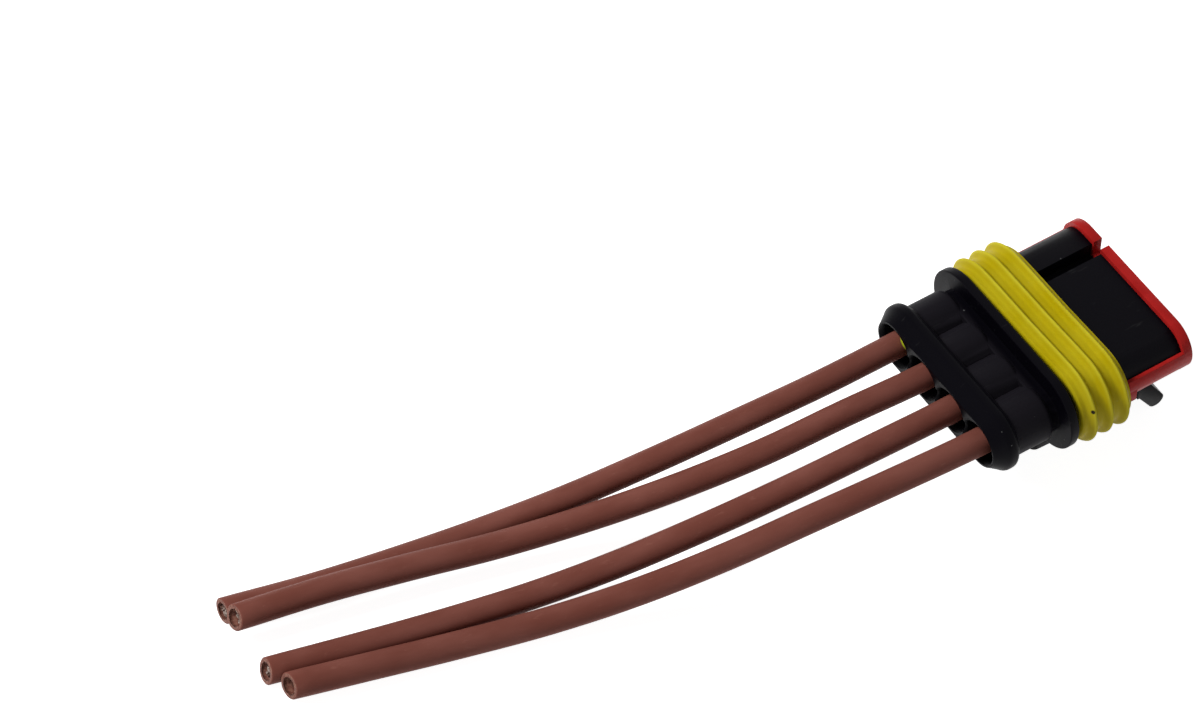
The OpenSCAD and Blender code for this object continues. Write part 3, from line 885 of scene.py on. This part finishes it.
# %% Hard pieces and wire seals
moulded = [
    softened("plug_housing", "housing_moulding", "plug", HOUSING_BLACK, 0.16 * MM),
    softened("latch_lever", "latch_moulding", "latch", LATCH_BLACK, 0.2 * MM),
    softened("secondary_lock", "lock_moulding", "lock", LOCK_RED, 0.09 * MM),
]
for way in range(1, WAYS + 1):
    moulded.append(softened(
        f"contact_{way}", f"contact_strip_{way}", "plug", CONTACT_TIN, 0.03 * MM, 1))
for way in range(1, WAYS + 1):
    moulded.append(softened(
        f"wire_seal_{way}", f"wire_seal_sleeve_{way}", "plug", WIRE_SEAL_GREEN,
        0.1 * MM))
print("faces:", {obj.name: len(obj.data.polygons) for obj in moulded})

# %% [markdown]
# ## Seal lip in the first mouth
# The bend of the first lead has dragged the rear lip of its wire seal outwards,
# on the upper near side, so a crescent of it shows in the mouth. It is a short
# sleeve whose rear edge leans: that edge lies deep all round but on that side.

# %% Dragged seal lip
SLEEVE_DEPTH = 2.35 * MM
SLEEVE_DRAG = 2.1 * MM
SLEEVE_TOWARD = math.radians(38)
SLEEVE_BORE_R = 1.85 * MM
SLEEVE_R = 2.72 * MM
SLEEVE_ROUND = 0.2 * MM


def dragged_lip(way):
    """Sleeve wall carried round the way's axis. Its rear edge lies in the mouth at a
    depth of SLEEVE_DEPTH - SLEEVE_DRAG ((1 + cos(a - SLEEVE_TOWARD)) / 2) ** 3."""
    a = round_angles(64)
    rear = SLEEVE_DEPTH - SLEEVE_DRAG * (0.5 + 0.5 * np.cos(a - SLEEVE_TOWARD)) ** 3
    front = np.full_like(a, SLEEVE_DEPTH + 0.4 * MM)
    rounded = rear + SLEEVE_ROUND
    depth = np.stack([front, rounded, rear, rear, rounded, front], -1)
    r = np.array([SLEEVE_R, SLEEVE_R, SLEEVE_R - SLEEVE_ROUND,
                  SLEEVE_BORE_R + SLEEVE_ROUND, SLEEVE_BORE_R, SLEEVE_BORE_R])
    points = np.stack([
        REAR_X + depth,
        WAY_Y[way] - r[None] * np.sin(a)[:, None],
        AXIS_Z + r[None] * np.cos(a)[:, None],
    ], -1)
    obj = mesh_from(f"wire_seal_lip_{way + 1}", points.reshape(-1, 3),
                    grid_faces(len(a), len(r), True, True))
    obj.data.materials.append(WIRE_SEAL_GREEN)
    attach(obj, "plug")
    return obj


seal_lip = dragged_lip(0)
print("seal lip:", len(seal_lip.data.polygons), "faces")

# %% [markdown]
# ## Bench
# The plug lies on a plain pale bench. To the rays that light the plug it is a dull
# sheet, but to the camera and to every mirror it glows nearly white, so only a
# very faint shadow is left on it. It is clear from beneath, so that the underside
# of the plug can be looked at.

# %% Bench
BENCH_HALF = 1.2
BENCH_COLOUR = (0.8, 0.8, 0.8, 1)
BENCH_GLOW = (0.93, 0.93, 0.93, 1)
UNLIT = (0, 0, 0, 1)


def bench():
    """Square sheet on the ground, whose glow follows shown()."""
    points = [(-BENCH_HALF, -BENCH_HALF, 0), (BENCH_HALF, -BENCH_HALF, 0),
              (BENCH_HALF, BENCH_HALF, 0), (-BENCH_HALF, BENCH_HALF, 0)]
    obj = mesh_from("bench", points, [(0, 1, 2, 3)], smooth=False)
    finish = Finish("bench_white", Roughness=0.9, Specular_IOR_Level=0.0, Emission_Strength=1.0)
    finish.shader.inputs["Base Color"].default_value = BENCH_COLOUR
    finish.feed("Emission Color", finish.blend(finish.shown(), UNLIT, BENCH_GLOW))
    finish.feed("Alpha", 1 - finish.node("ShaderNodeNewGeometry", output="Backfacing"))
    obj.data.materials.append(finish.material)
    return obj


bench()
print("bench:", 2 * BENCH_HALF, "m square")

# %% [markdown]
# ## Lamp
# One soft square lamp stands high behind the far side, so each lip of the seal
# shades the valley in front of it. It isn't mirrored in any surface, because the
# black plastic would show it as hard spots and bands.

# %% Lamp
def soft_light(name, place, aim, size, power):
    """Square area light at place, turned towards aim, of a power in watts."""
    data = bpy.data.lights.new(name, "AREA")
    data.size = size
    data.energy = power
    obj = bpy.data.objects.new(name, data)
    bpy.context.scene.collection.objects.link(obj)
    obj.location = place
    obj.rotation_euler = (Vector(aim) - Vector(place)).to_track_quat("-Z", "Y").to_euler()
    obj.visible_glossy = False
    return obj


key_light = soft_light("key_light", (-0.46, 0.32, 0.7), (-0.03, 0, 0), 0.3, 6.2)
print("lamp:", round(key_light.data.energy, 1), "W")

# %% [markdown]
# ## Tent
# Cloth all round fills the shadows. It is dim to the rays that light the plug, and
# brighter at the sides than overhead, but the camera and every mirror see it white.

# %% Tent
TENT_TOP = (0.1, 0.1, 0.1, 1)
TENT_SIDE = (0.3, 0.3, 0.3, 1)
WHITE = (1, 1, 1, 1)


def tent():
    """World whose colour runs from TENT_SIDE at the horizon to TENT_TOP overhead."""
    world = bpy.data.worlds.new("tent")
    world.use_nodes = True
    nodes = Nodes(world.node_tree)
    direction = nodes.node("ShaderNodeTexCoord", output="Generated")
    height = nodes.node("ShaderNodeSeparateXYZ", {}, [direction], output="Z")
    dim = nodes.blend(height.smooth(0.0, 0.75), TENT_SIDE, TENT_TOP)
    colour = nodes.blend(nodes.shown(), dim, WHITE)
    background = world.node_tree.nodes["Background"]
    world.node_tree.links.new(colour.socket, background.inputs["Color"])
    bpy.context.scene.world = world
    return world


print("tent:", len(tent().node_tree.nodes), "nodes")
bpy.context.scene.view_settings.view_transform = "Standard"

# %% [markdown]
